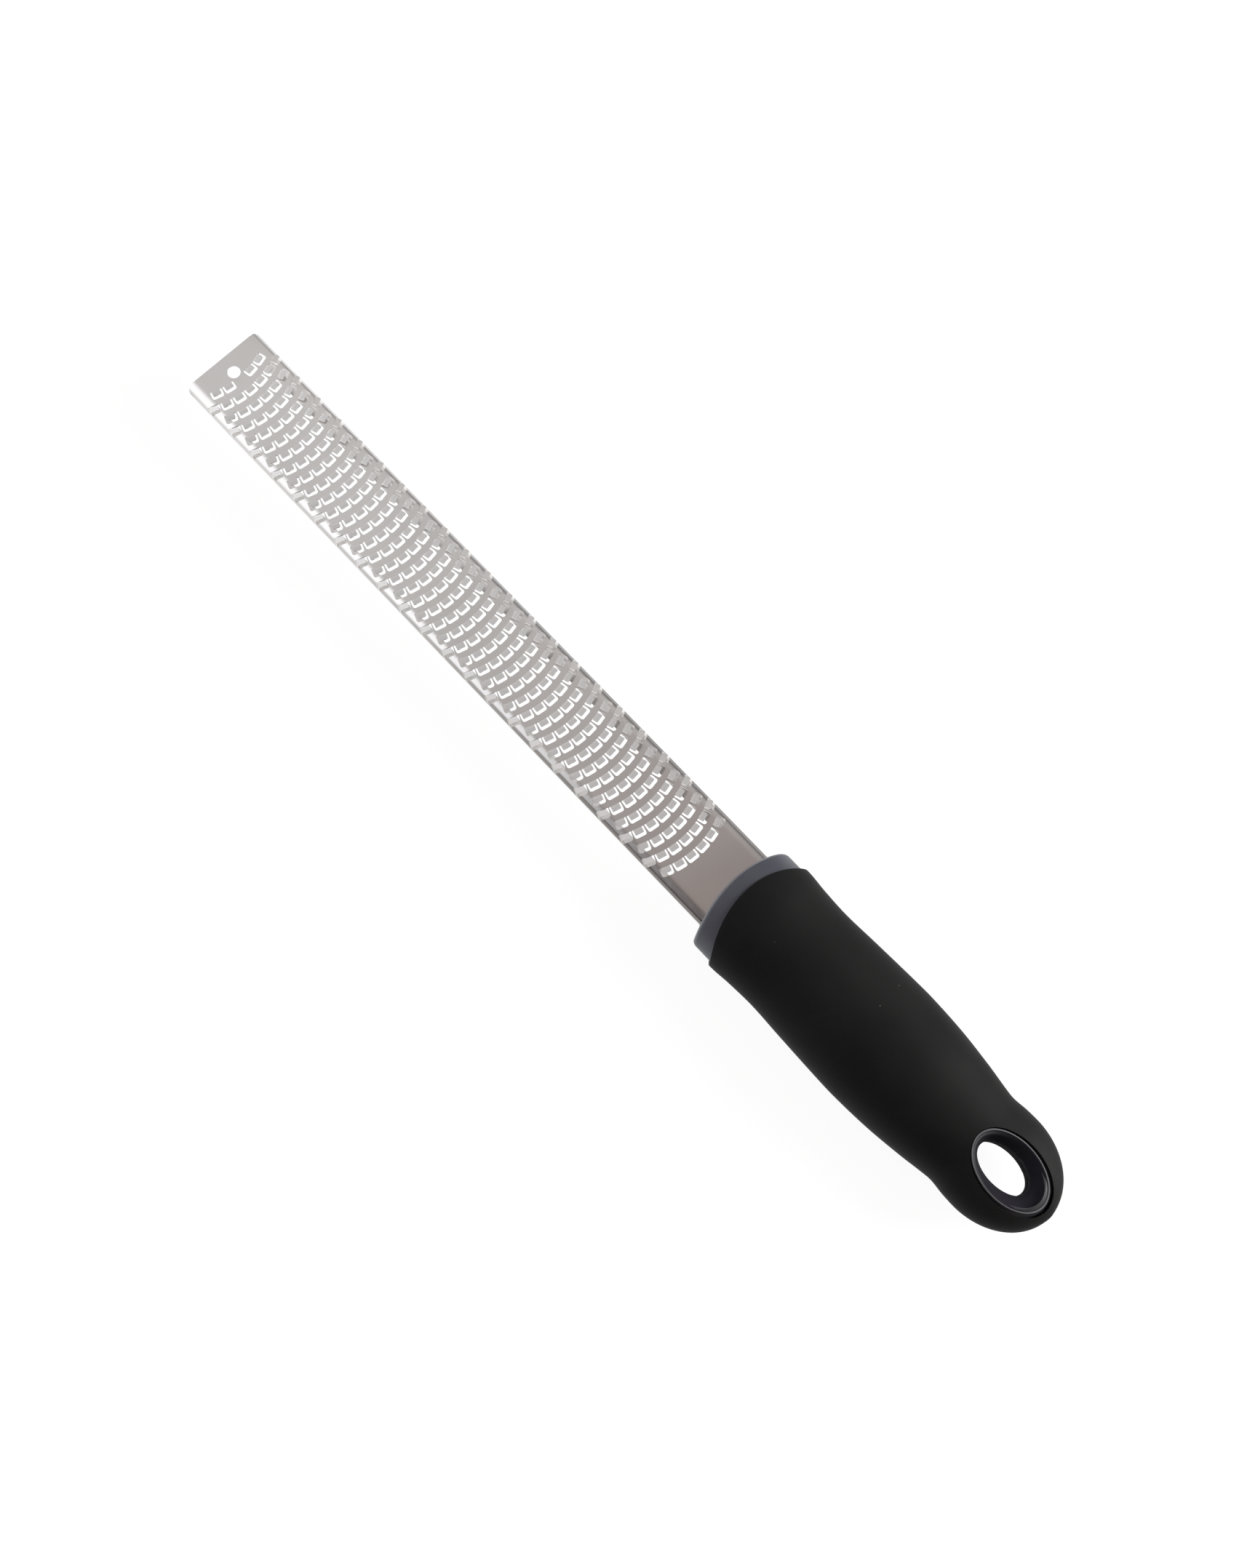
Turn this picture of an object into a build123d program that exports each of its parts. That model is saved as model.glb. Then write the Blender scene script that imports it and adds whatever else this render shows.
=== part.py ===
from build123d import *

import os
from math import asin, cos, degrees, radians, sin

# Rasp zester: a long etched steel rasp folded into a channel, in a soft-grip
# handle with a hang eyelet. Millimetres. X runs along the tool, from the rasp's
# tip at -X to the handle's end at +X. The teeth face +Z, and Z = 0 is the
# handle's lowest point. The origin lies under the middle of the whole tool.

# Main lengths
blade_reach = 204.0
handle_length = 116.0

# Rasp sheet and its folded channel
blade_width = 25.4
sheet = 0.4
channel_height = 7.6
fold_radius = 2.2
lip_fold_radius = 1.2
flange_lean = 8.0
lip_gap = 17.4
nose_step = 0.8
nose_run = 6.0
tip_corner_radius = 1.4

# Tooth field: arcs of teeth that bulge towards the handle
row_pitch = 4.35
row_radius = 28.45
tooth_pitch = 4.07
teeth_across = 7
first_row = 9.6
field_margin = 11.5
window_width = 3.45
window_length = 2.53
window_corner = 0.62
leg_gap = 0.52
edge_gap = 0.87
tooth_lift = 0.45
edge_tooth_sink = 0.16
edge_tooth_seat = 0.25

# Hole near the rasp's tip
tip_hole_radius = 1.85
tip_hole_inset = 5.3

# Tang and its two locking pins
tang_width = 16.0
tang_length = 46.0
tang_corner_radius = 3.0
pin_radius = 1.5
pin_length = 10.0
pin_inset = 12.0
pin_spacing = 22.0

# Handle: sleeve, collar and core
belly_half_width = 18.2
belly_half_height = 13.0
bulb_half_width = 15.6
bulb_half_height = 9.9
bulb_inset = 19.1
front_arc_radius = 42.0
collar_half_width = 17.15
collar_half_height = 12.3
collar_band = 4.6
collar_edge_radius = 0.7
spigot_length = 14.0
sleeve_wall = 2.4
sleeve_lip_radius = 0.9

# Hang eyelet, of two rings that meet at the handle's middle plane
eyelet_inset = 16.1
rim_half_length = 11.75
rim_half_width = 7.7
rim_height = 7.8
rim_face = 0.6
rim_edge_radius = 0.3
rim_flange = 2.2
rim_ledge = 0.8
throat_half_length = 7.85
throat_half_width = 4.25
throat_land = 0.6
recess_edge_radius = 0.7

# Clearances, and one overrun for all cuts
slot_clearance = 0.1
tang_clearance = 0.1
tang_end_clearance = 0.3
pin_clearance = 0.05
eyelet_clearance = 0.1
recess_clearance = 0.3
overrun = 5.0

# Outline of the grip, front to bulb: the place of each oval section as a share of
# the grip's length, and its half width and half height as shares of the belly's.
grip_station_shares = [
    (-0.040, 0.990, 0.980),
    (0.080, 0.996, 0.988),
    (0.145, 0.968, 0.968),
    (0.235, 0.949, 0.952),
    (0.345, 0.971, 0.974),
    (0.500, 0.997, 0.998),
    (0.570, 1.000, 1.000),
    (0.690, 0.970, 0.966),
    (0.805, 0.904, 0.890),
    (0.885, 0.842, 0.816),
    (0.915, 0.828, 0.794),
    (0.960, 0.850, 0.774),
]

# The bulb's plan is an ellipse, and its side view a fuller oval of this exponent.
bulb_fullness = 3.0
bulb_steps = 6
bulb_last_turn = 84.0

# The funnel's waist: its depth below the rim, and how far open it still is there.
funnel_depth_share = 0.45
funnel_open_share = 0.44

# Places worked out from the sizes above
tip_x = -(blade_reach + handle_length) / 2
end_x = -tip_x
collar_x = tip_x + blade_reach
sleeve_x = collar_x + collar_band
core_x = sleeve_x + spigot_length
tang_x = core_x - tang_end_clearance
tang_end_x = tang_x + tang_length
bulb_x = end_x - bulb_inset
eyelet_x = end_x - eyelet_inset
mid_z = belly_half_height
top_z = mid_z + channel_height / 2
flat_half = blade_width / 2 - fold_radius
rim_z = mid_z + rim_height
flange_z = rim_z - rim_flange
pin_places = [(tang_x + pin_inset, 0), (tang_x + pin_inset + pin_spacing, 0)]


def sheet_face(x, grow):
    """The folded sheet's C section at x, fattened by grow on every side."""
    lean = radians(flange_lean)
    fold_drop = fold_radius * (1 + sin(lean))
    lip_drop = lip_fold_radius * (1 - sin(lean))
    flange_length = (channel_height - fold_drop - lip_drop) / cos(lean)
    with BuildSketch(Plane.YZ.offset(x)) as face:
        with BuildLine():
            top = Line((0, top_z), (flat_half, top_z))
            fold = JernArc(top @ 1, top % 1, fold_radius, -90 - flange_lean)
            flange = PolarLine(fold @ 1, flange_length, direction=fold % 1)
            under = JernArc(flange @ 1, flange % 1, lip_fold_radius, flange_lean - 90)
            lip = Line(under @ 1, (lip_gap / 2, (under @ 1).Y))
            lip_end = Line(lip @ 1, lip @ 1 + Vector(0, sheet))
            lip_in = Line(lip_end @ 1, under @ 1 + Vector(0, sheet))
            under_in = JernArc(lip_in @ 1, lip_in % 1, lip_fold_radius - sheet, 90 - flange_lean)
            flange_in = PolarLine(under_in @ 1, flange_length, direction=under_in % 1)
            fold_in = JernArc(flange_in @ 1, flange_in % 1, fold_radius - sheet, 90 + flange_lean)
            top_in = Line(fold_in @ 1, (0, top_z - sheet))
            Line(top_in @ 1, top @ 0)
        make_face()
        mirror(about=Plane.YZ)
        if grow > 0:
            offset(amount=grow, kind=Kind.INTERSECTION)
    return face.sketch


def tooth_places(columns):
    """Where one row's teeth stand: each window's front edge, and whether it is on the fold."""
    places = []
    for column in columns:
        turn = column * tooth_pitch / row_radius
        side = 1 if column > 0 else -1
        turned = Location((0, 0, 0), (0, 0, degrees(turn)))
        if abs(column) < (teeth_across - 1) / 2:
            front = Location((row_radius * (cos(turn) - 1), row_radius * sin(turn), top_z))
            places.append((front * turned, False))
        else:
            middle = row_radius - window_length / 2
            bend = (middle * sin(abs(turn)) - flat_half) / fold_radius
            edge_y = side * (flat_half + fold_radius * sin(bend))
            edge_z = top_z - fold_radius * (1 - cos(bend))
            centre = Location((middle * cos(turn) - row_radius, edge_y, edge_z))
            tilted = Location((0, 0, 0), (-side * degrees(bend), 0, 0))
            slid = Location((window_length / 2, 0, 0))
            places.append((centre * tilted * turned * slid, True))
    return places


def row_windows(columns):
    """The windows etched through the sheet in one row."""
    windows = []
    for place, on_fold in tooth_places(columns):
        depth = fold_radius if on_fold else 2 * sheet
        with BuildPart() as window:
            with BuildSketch(Plane(place).offset(-depth)):
                with BuildLine():
                    Polyline(
                        (-window_length, -window_width / 2),
                        (-window_corner, -window_width / 2),
                        (0, window_corner - window_width / 2),
                        (0, window_width / 2 - window_corner),
                        (-window_corner, window_width / 2),
                        (-window_length, window_width / 2),
                        close=True,
                    )
                make_face()
            extrude(amount=2 * depth)
        windows.append(window.part)
    return windows


def row_teeth(columns):
    """The raised tongues of one row, joined on the tip side and sharp towards the handle."""
    teeth = []
    for place, on_fold in tooth_places(columns):
        sink = edge_tooth_sink if on_fold else 0
        root = [(-window_length, -sheet - sink), (-window_length, -sink)]
        if on_fold:
            seat_x = -window_length - edge_tooth_seat
            root = [root[0], (seat_x, -sheet - sink), (seat_x, -sink), root[1]]
        edge = [(-edge_gap, tooth_lift - sink), (-edge_gap, tooth_lift - sheet - sink)]
        with BuildPart() as tooth:
            with BuildSketch(Plane(place * Location((0, 0, 0), (90, 0, 0)))):
                with BuildLine():
                    Polyline(*root, *edge, close=True)
                make_face()
            extrude(amount=window_width / 2 - leg_gap, both=True)
        teeth.append(tooth.part)
    return teeth


def plan_face(front_x, rear_x):
    """Plan of a handle piece whose front bulges towards the tip in an arc."""
    side_y = belly_half_width + overrun
    side_x = front_x + front_arc_radius * (1 - cos(asin(side_y / front_arc_radius)))
    with BuildSketch(Plane.XY.offset(-overrun)) as plan:
        with BuildLine():
            ThreePointArc((side_x, -side_y), (front_x, 0), (side_x, side_y))
            Polyline((side_x, side_y), (rear_x, side_y), (rear_x, -side_y), (side_x, -side_y))
        make_face()
    return plan.sketch


def handle_form(inset):
    """The handle's body, lofted through oval sections, smaller by inset all round."""
    stations = []
    for along_share, wide_share, high_share in grip_station_shares:
        x = sleeve_x + along_share * (bulb_x - sleeve_x)
        wide = belly_half_width * wide_share - inset
        high = belly_half_height * high_share - inset
        stations.append((x, wide, high))
    for step in range(bulb_steps + 1):
        turn = radians(bulb_last_turn * step / bulb_steps)
        along_share = sin(turn) / sin(radians(bulb_last_turn))
        high_share = (1 - sin(turn) ** bulb_fullness) ** (1 / bulb_fullness)
        x = bulb_x + along_share * (bulb_inset - inset)
        wide = (bulb_half_width - inset) * cos(turn)
        high = (bulb_half_height - inset) * high_share
        stations.append((x, wide, high))
    with BuildPart() as form:
        for x, wide, high in stations:
            with BuildSketch(Plane.YZ.offset(x)):
                with Locations((0, mid_z)):
                    Ellipse(wide, high)
        loft()
    return form.part


def plan_box(front_x, rear_x, width, z):
    """A rectangle on the level z, from front_x to rear_x, centred across the tool."""
    with BuildSketch(Plane.XY.offset(z)) as plan:
        with Locations(((front_x + rear_x) / 2, 0)):
            Rectangle(rear_x - front_x, width)
    return plan.sketch


def plan_oval(half_length, half_width, z):
    """An oval on the level z, centred on the eyelet."""
    with BuildSketch(Plane.XY.offset(z)) as plan:
        with Locations((eyelet_x, 0)):
            Ellipse(half_length, half_width)
    return plan.sketch


outer_form = handle_form(0)
inner_form = handle_form(sleeve_wall)
form_height = 2 * belly_half_height + 2 * overrun

# Rasp: the folded channel and its tang, the slanted nose and rounded tip corners
row_count = 1 + int((blade_reach - field_margin - first_row) / row_pitch)
edge_column = (teeth_across - 1) // 2
long_row = list(range(-edge_column, edge_column + 1))
short_row = [column + 0.5 for column in long_row[:-1]]
tip_row = [column for column in long_row[1:-1] if column != 0]
row_kinds = {}
for kind, columns in (("tip", tip_row), ("long", long_row), ("short", short_row)):
    row_kinds[kind] = (row_windows(columns), row_teeth(columns))

windows = []
teeth = []
for row in range(row_count):
    shift = Location((tip_x + first_row + row * row_pitch, 0, 0))
    kind = "tip" if row == 0 else "long" if row % 2 == 1 else "short"
    windows += [shift * window for window in row_kinds[kind][0]]
    teeth += [shift * tooth for tooth in row_kinds[kind][1]]

with BuildPart() as blade:
    extrude(sheet_face(tip_x, 0), amount=tang_x - tip_x)
    extrude(plan_box(tang_x - overrun, tang_end_x, tang_width, top_z), amount=-sheet)
    fillet(blade.edges().filter_by(Axis.Z).group_by(Axis.X)[-1], tang_corner_radius)
    with BuildSketch(Plane.XZ):
        with BuildLine():
            Polyline(
                (tip_x - overrun, top_z - nose_step),
                (tip_x, top_z - nose_step),
                (tip_x + nose_run, top_z - channel_height),
                (tip_x + nose_run, top_z - channel_height - overrun),
                (tip_x - overrun, top_z - channel_height - overrun),
                close=True,
            )
        make_face()
    extrude(amount=blade_width, both=True, mode=Mode.SUBTRACT)
    with BuildSketch(Plane.XY):
        with Locations((tip_x + tip_corner_radius, blade_width / 2 - tip_corner_radius)):
            size = tip_corner_radius + overrun
            Rectangle(size, size, align=(Align.MAX, Align.MIN))
            Circle(tip_corner_radius, mode=Mode.SUBTRACT)
        mirror(about=Plane.XZ)
    extrude(amount=top_z + overrun, mode=Mode.SUBTRACT)
    with Locations((tip_x + tip_hole_inset, 0, top_z)):
        Hole(tip_hole_radius, depth=2 * sheet)
    with Locations(*[(x, y, top_z) for x, y in pin_places]):
        Hole(pin_radius + pin_clearance, depth=2 * sheet)
    add(windows, mode=Mode.SUBTRACT)
    add(teeth)
blade.part.label = "blade"

# Locking pins, upright through the tang and both halves of the core
with BuildPart() as tang_pins:
    with Locations(*[(x, y, top_z) for x, y in pin_places]):
        Cylinder(pin_radius, pin_length)
tang_pins.part.label = "tang_pins"

# Upper half of the core, with the pocket that the tang lies in
with BuildPart() as core_upper:
    add(inner_form)
    extrude(
        plan_box(core_x, end_x, 2 * belly_half_width, mid_z),
        amount=belly_half_height,
        mode=Mode.INTERSECT,
    )
    pocket = plan_box(
        core_x - overrun,
        tang_end_x + tang_end_clearance,
        tang_width + 2 * tang_clearance,
        mid_z,
    )
    extrude(pocket, amount=top_z + tang_clearance - mid_z, mode=Mode.SUBTRACT)
    with BuildSketch(Plane.XY.offset(mid_z)):
        with Locations(*pin_places):
            Circle(pin_radius + pin_clearance)
    extrude(amount=top_z + pin_length / 2 + pin_clearance - mid_z, mode=Mode.SUBTRACT)
    barrel = plan_oval(
        rim_half_length - rim_ledge + eyelet_clearance,
        rim_half_width - rim_ledge + eyelet_clearance,
        mid_z,
    )
    extrude(barrel, amount=belly_half_height, mode=Mode.SUBTRACT)
    seat = plan_oval(rim_half_length + eyelet_clearance, rim_half_width + eyelet_clearance, flange_z)
    extrude(seat, amount=belly_half_height, mode=Mode.SUBTRACT)
core_upper.part.label = "core_upper"

# Lower half of the core, with the land that carries the tang
with BuildPart() as core_lower:
    add(inner_form)
    extrude(
        plan_box(core_x, end_x, 2 * belly_half_width, mid_z),
        amount=-belly_half_height,
        mode=Mode.INTERSECT,
    )
    extrude(
        plan_box(core_x, tang_end_x, tang_width, mid_z),
        amount=top_z - sheet - tang_clearance - mid_z,
    )
    with BuildSketch(Plane.XY.offset(top_z)):
        with Locations(*pin_places):
            Circle(pin_radius + pin_clearance)
    extrude(amount=-pin_length / 2 - pin_clearance, mode=Mode.SUBTRACT)
    extrude(barrel, amount=-belly_half_height, mode=Mode.SUBTRACT)
    seat = plan_oval(
        rim_half_length + eyelet_clearance,
        rim_half_width + eyelet_clearance,
        2 * mid_z - flange_z,
    )
    extrude(seat, amount=-belly_half_height, mode=Mode.SUBTRACT)
core_lower.part.label = "core_lower"

# Front collar: its band shows, its spigot lies inside the sleeve, and the folded
# sheet passes through a slot of its own section
with BuildPart() as spigot:
    add(inner_form)
    extrude(plan_face(sleeve_x, core_x), amount=form_height, mode=Mode.INTERSECT)

with BuildPart() as front_collar:
    with BuildSketch(Plane.YZ.offset(collar_x)):
        with Locations((0, mid_z)):
            Ellipse(collar_half_width, collar_half_height)
    extrude(amount=collar_band + spigot_length)
    extrude(plan_face(collar_x, core_x + overrun), amount=form_height, mode=Mode.INTERSECT)
    extrude(plan_face(sleeve_x, core_x + overrun), amount=form_height, mode=Mode.SUBTRACT)
    front_edge = front_collar.edges().group_by(Axis.X)[0]
    fillet(front_edge, collar_edge_radius)
    add(spigot.part)
    extrude(
        sheet_face(collar_x - overrun, slot_clearance),
        amount=core_x - collar_x + 2 * overrun,
        mode=Mode.SUBTRACT,
    )
front_collar.part.label = "front_collar"

# Soft sleeve over collar spigot and core, with a recess for the eyelet
with BuildPart() as grip_sleeve:
    add(outer_form)
    extrude(plan_face(sleeve_x, end_x + overrun), amount=form_height, mode=Mode.INTERSECT)
    lip_edge = grip_sleeve.edges().group_by(Axis.X)[0]
    fillet(lip_edge, sleeve_lip_radius)
    add(inner_form, mode=Mode.SUBTRACT)
    recess = plan_oval(rim_half_length + recess_clearance, rim_half_width + recess_clearance, 0)
    extrude(recess, amount=form_height, mode=Mode.SUBTRACT)
grip_sleeve.part.label = "grip_sleeve"

# Eyelet rings: a flanged barrel with a funnel down to the throat
with BuildPart() as eyelet_upper:
    extrude(
        plan_oval(rim_half_length - rim_ledge, rim_half_width - rim_ledge, mid_z),
        amount=rim_height - rim_flange,
    )
    extrude(plan_oval(rim_half_length, rim_half_width, flange_z), amount=rim_flange)
    rim_edges = eyelet_upper.edges().group_by(Axis.Z)[-1]
    fillet(rim_edges, rim_edge_radius)
    extrude(
        plan_oval(throat_half_length, throat_half_width, mid_z),
        amount=rim_height,
        mode=Mode.SUBTRACT,
    )
    mouth_length = rim_half_length - rim_face
    mouth_width = rim_half_width - rim_face
    waist_length = throat_half_length + funnel_open_share * (mouth_length - throat_half_length)
    waist_width = throat_half_width + funnel_open_share * (mouth_width - throat_half_width)
    funnel_sections = [
        plan_oval(throat_half_length, throat_half_width, mid_z + throat_land),
        plan_oval(waist_length, waist_width, rim_z - funnel_depth_share * rim_height),
        plan_oval(mouth_length, mouth_width, rim_z),
    ]
    loft(funnel_sections, mode=Mode.SUBTRACT)
eyelet_upper.part.label = "eyelet_upper"

with BuildPart() as eyelet_lower:
    mirror(eyelet_upper.part, about=Plane.XY.offset(mid_z))
eyelet_lower.part.label = "eyelet_lower"

os.makedirs("parts", exist_ok=True)
export_step(blade.part, "parts/blade.step")
export_step(tang_pins.part, "parts/tang_pins.step")
export_step(core_upper.part, "parts/core_upper.step")
export_step(core_lower.part, "parts/core_lower.step")
export_step(front_collar.part, "parts/front_collar.step")
export_step(grip_sleeve.part, "parts/grip_sleeve.step")
export_step(eyelet_upper.part, "parts/eyelet_upper.step")
export_step(eyelet_lower.part, "parts/eyelet_lower.step")
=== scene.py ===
"""Looks of the rasp zester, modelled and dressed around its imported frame.

Every size below is in millimetres, in the frame's own axes: +X runs from the
rasp's tip to the handle's end, +Z out of the toothed face. A finished piece is
scaled to metres, with its place in its mesh.
"""

from __future__ import annotations

import logging
import math
from collections.abc import Callable, Iterable, Sequence
from dataclasses import dataclass
from enum import Enum

import bpy
from mathutils import Matrix, Vector

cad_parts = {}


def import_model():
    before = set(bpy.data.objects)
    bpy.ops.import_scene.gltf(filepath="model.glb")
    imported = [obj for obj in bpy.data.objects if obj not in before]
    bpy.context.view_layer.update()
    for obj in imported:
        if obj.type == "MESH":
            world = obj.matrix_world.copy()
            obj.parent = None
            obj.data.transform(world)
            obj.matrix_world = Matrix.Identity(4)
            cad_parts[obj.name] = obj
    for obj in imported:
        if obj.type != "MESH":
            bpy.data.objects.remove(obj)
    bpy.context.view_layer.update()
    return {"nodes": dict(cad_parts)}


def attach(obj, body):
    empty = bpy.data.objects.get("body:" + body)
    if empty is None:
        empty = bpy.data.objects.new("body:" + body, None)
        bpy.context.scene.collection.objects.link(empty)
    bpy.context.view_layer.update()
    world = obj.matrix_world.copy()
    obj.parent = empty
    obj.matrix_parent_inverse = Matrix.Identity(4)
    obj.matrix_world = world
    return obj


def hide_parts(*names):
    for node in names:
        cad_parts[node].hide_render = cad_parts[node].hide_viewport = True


LOG = logging.getLogger("rasp_zester")
METRES = 0.001  # a millimetre
NEAR = 0.002  # two places this close count as one
MERGE = 0.0005  # points this close are merged
UPRIGHT = 90.0  # the lean of a section that stands across the tool

Point = tuple[float, float, float]
Span = tuple[float, float]
Colour = tuple[float, float, float, float]

WHITE: Colour = (1, 1, 1, 1)
BLACK: Colour = (0, 0, 0, 1)


class Pick(Enum):
    """What a selection in edit mode is made of."""

    POINTS = "VERT"
    EDGES = "EDGE"
    FACES = "FACE"


class Slot(Enum):
    """The record's material slots of the pieces that are modelled here."""

    BLADE = "blade_steel"
    COLLAR = "collar_plastic"
    GRIP = "grip_rubber"
    EYELET = "eyelet_plastic"


class Side(Enum):
    """The two long sides of the tool."""

    LEFT = -1
    RIGHT = 1


@dataclass(frozen=True)
class Oval:
    """An oval section of a lofted piece, level or at a lean, +X side down, in degrees."""

    x: float
    z: float
    half_x: float
    half_y: float
    lean: float = 0.0


class Bench:
    """Shapes one mesh at a time with Blender's edit tools, as by hand."""

    arc_corners: int = 256
    cutter_height: float = 80
    cutter_reach: float = 200
    sharp_turn: float = 50

    @staticmethod
    def clear() -> None:
        """Leaves edit mode and deselects everything."""
        if bpy.context.object and bpy.context.object.mode != "OBJECT":
            bpy.ops.object.mode_set(mode="OBJECT")
        bpy.ops.object.select_all(action="DESELECT")

    @classmethod
    def take(cls, piece: bpy.types.Object) -> None:
        """Makes one object the only selected one, and the active one.

        Args:
            piece: That object.
        """
        cls.clear()
        piece.select_set(True)
        bpy.context.view_layer.objects.active = piece

    @staticmethod
    def settle(name: str, stretch: Sequence[float] = (1, 1, 1)) -> bpy.types.Object:
        """Names the primitive just added and puts its place in its mesh.

        Args:
            name: Its name.
            stretch: How far each axis is scaled first.

        Returns:
            The primitive.
        """
        piece = bpy.context.object
        piece.name = name
        piece.scale = stretch
        bpy.ops.object.transform_apply(location=True, rotation=True, scale=True)
        return piece

    @classmethod
    def plate(
        cls, name: str, low: Sequence[float], high: Sequence[float], z: float
    ) -> bpy.types.Object:
        """Adds a flat rectangle.

        Args:
            name: The new object's name.
            low: Its lowest x and y.
            high: Its highest x and y.
            z: Its level.

        Returns:
            The rectangle.
        """
        cls.clear()
        middle = ((low[0] + high[0]) / 2, (low[1] + high[1]) / 2, z)
        bpy.ops.mesh.primitive_plane_add(size=1, location=middle)
        return cls.settle(name, (high[0] - low[0], high[1] - low[1], 1))

    @classmethod
    def block(cls, name: str, low: Point, high: Point) -> bpy.types.Object:
        """Adds a box.

        Args:
            name: The new object's name.
            low: Its lowest corner.
            high: Its highest corner.

        Returns:
            The box.
        """
        cls.clear()
        middle = (Vector(low) + Vector(high)) / 2
        bpy.ops.mesh.primitive_cube_add(size=1, location=middle)
        return cls.settle(name, Vector(high) - Vector(low))

    @classmethod
    def loft(
        cls, name: str, ovals: Sequence[Oval], ring: bool = False, corners: int = 96
    ) -> bpy.types.Object:
        """Extrudes an oval from section to section.

        Args:
            name: The new object's name.
            ovals: The sections in order.
            ring: Whether the last section meets the first. If not, each end has a face.
            corners: How many points an oval has.

        Returns:
            A closed mesh with its faces outwards.
        """
        cls.clear()
        fill = "NOTHING" if ring else "NGON"
        bpy.ops.mesh.primitive_circle_add(vertices=corners, radius=1, fill_type=fill)
        piece = bpy.context.object
        piece.name = name
        bpy.ops.object.mode_set(mode="EDIT")
        bpy.ops.mesh.select_all(action="SELECT")
        before = Oval(0, 0, 1, 1)
        for number, oval in enumerate(ovals):
            if number:
                cls.extrude((0, 0, 0))
            middle = (before.x, 0, before.z)
            stretch = (oval.half_x / before.half_x, oval.half_y / before.half_y, 1)
            cls.lean(-before.lean, middle)
            bpy.ops.transform.resize(value=stretch, center_override=middle)
            bpy.ops.transform.translate(value=(oval.x - before.x, 0, oval.z - before.z))
            cls.lean(oval.lean, (oval.x, 0, oval.z))
            before = oval
        cls.done()
        cls.outwards(piece)
        return piece

    @staticmethod
    def lean(degrees: float, middle: Point) -> None:
        """Turns the selection about the tool's Y, its +X side down."""
        bpy.ops.transform.rotate(
            value=-math.radians(degrees),
            orient_axis="Y",
            orient_type="GLOBAL",
            center_override=middle,
        )

    @classmethod
    def bullnose(cls, name: str, x: float, radius: float) -> bpy.types.Object:
        """Adds a tall cutter with an arched front.

        Args:
            name: The new object's name.
            x: Where the arc begins, on the tool's middle plane.
            radius: The arc's radius.

        Returns:
            The cutter, which goes on past the tool's end.
        """
        cls.clear()
        bpy.ops.mesh.primitive_cylinder_add(
            vertices=cls.arc_corners,
            radius=radius,
            depth=cls.cutter_height,
            location=(x + radius, 0, 0),
        )
        piece = cls.settle(name)
        cls.choose(piece, Pick.POINTS, lambda co: co.x > x + radius + NEAR)
        bpy.ops.transform.translate(value=(cls.cutter_reach, 0, 0))
        cls.done()
        return piece

    @classmethod
    def cut(
        cls, piece: bpy.types.Object, tool: bpy.types.Object, operation: str = "DIFFERENCE"
    ) -> None:
        """Cuts piece with a closed tool, which is used up."""
        cls.apply(piece, "BOOLEAN", operation=operation, solver="EXACT", object=tool)
        bpy.data.objects.remove(tool)

    @classmethod
    def round_edges(cls, piece: bpy.types.Object, width: float, segments: int) -> None:
        """Bevels every edge that turns more than sharp_turn."""
        cls.apply(
            piece,
            "BEVEL",
            width=width,
            segments=segments,
            limit_method="ANGLE",
            angle_limit=math.radians(cls.sharp_turn),
            use_clamp_overlap=True,
        )

    @classmethod
    def round_corners(
        cls, piece: bpy.types.Object, end_x: float, half: float, width: float, segments: int
    ) -> None:
        """Bevels the two upright corners at one end of a piece.

        Args:
            piece: The object to work on.
            end_x: The end's place along the tool.
            half: How far its corners lie from the middle plane.
            width: The bevel's width.
            segments: How many faces the bevel has.
        """
        for edge_y in (-half, half):
            cls.choose(
                piece, Pick.EDGES, lambda co: abs(co.x - end_x) < NEAR and abs(co.y - edge_y) < NEAR
            )
            bpy.ops.mesh.bevel(offset=width, segments=segments, affect="EDGES")
            cls.done()

    @classmethod
    def choose(cls, piece: bpy.types.Object, kind: Pick, test: Callable[[Vector], bool]) -> None:
        """Selects the points, edges or faces of piece whose every corner passes a test.

        Args:
            piece: The object to work on, which ends in edit mode.
            kind: What to select.
            test: Says yes or no to a corner's place.
        """
        cls.take(piece)
        bpy.ops.object.mode_set(mode="EDIT")
        bpy.ops.mesh.select_mode(type=kind.value)
        bpy.ops.mesh.select_all(action="DESELECT")
        bpy.ops.object.mode_set(mode="OBJECT")
        mesh = piece.data
        passed = [test(point.co) for point in mesh.vertices]
        if kind is Pick.POINTS:
            groups = [(point, (point.index,)) for point in mesh.vertices]
        elif kind is Pick.EDGES:
            groups = [(edge, tuple(edge.vertices)) for edge in mesh.edges]
        else:
            groups = [(face, tuple(face.vertices)) for face in mesh.polygons]
        for item, corners in groups:
            item.select = all(passed[corner] for corner in corners)
        bpy.ops.object.mode_set(mode="EDIT")

    @staticmethod
    def extrude(move: Point) -> None:
        """Extrudes the selected edges or faces by move."""
        bpy.ops.mesh.extrude_region_move(TRANSFORM_OT_translate={"value": move})

    @staticmethod
    def done() -> None:
        """Goes back to object mode."""
        bpy.ops.object.mode_set(mode="OBJECT")

    @classmethod
    def apply(cls, piece: bpy.types.Object, kind: str, **settings: object) -> None:
        """Adds one modifier and applies it.

        Args:
            piece: The object to change.
            kind: The modifier's type.
            settings: Its properties.
        """
        cls.take(piece)
        modifier = piece.modifiers.new(kind.title(), kind)
        for name, value in settings.items():
            setattr(modifier, name, value)
        bpy.ops.object.modifier_apply(modifier=modifier.name)

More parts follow.
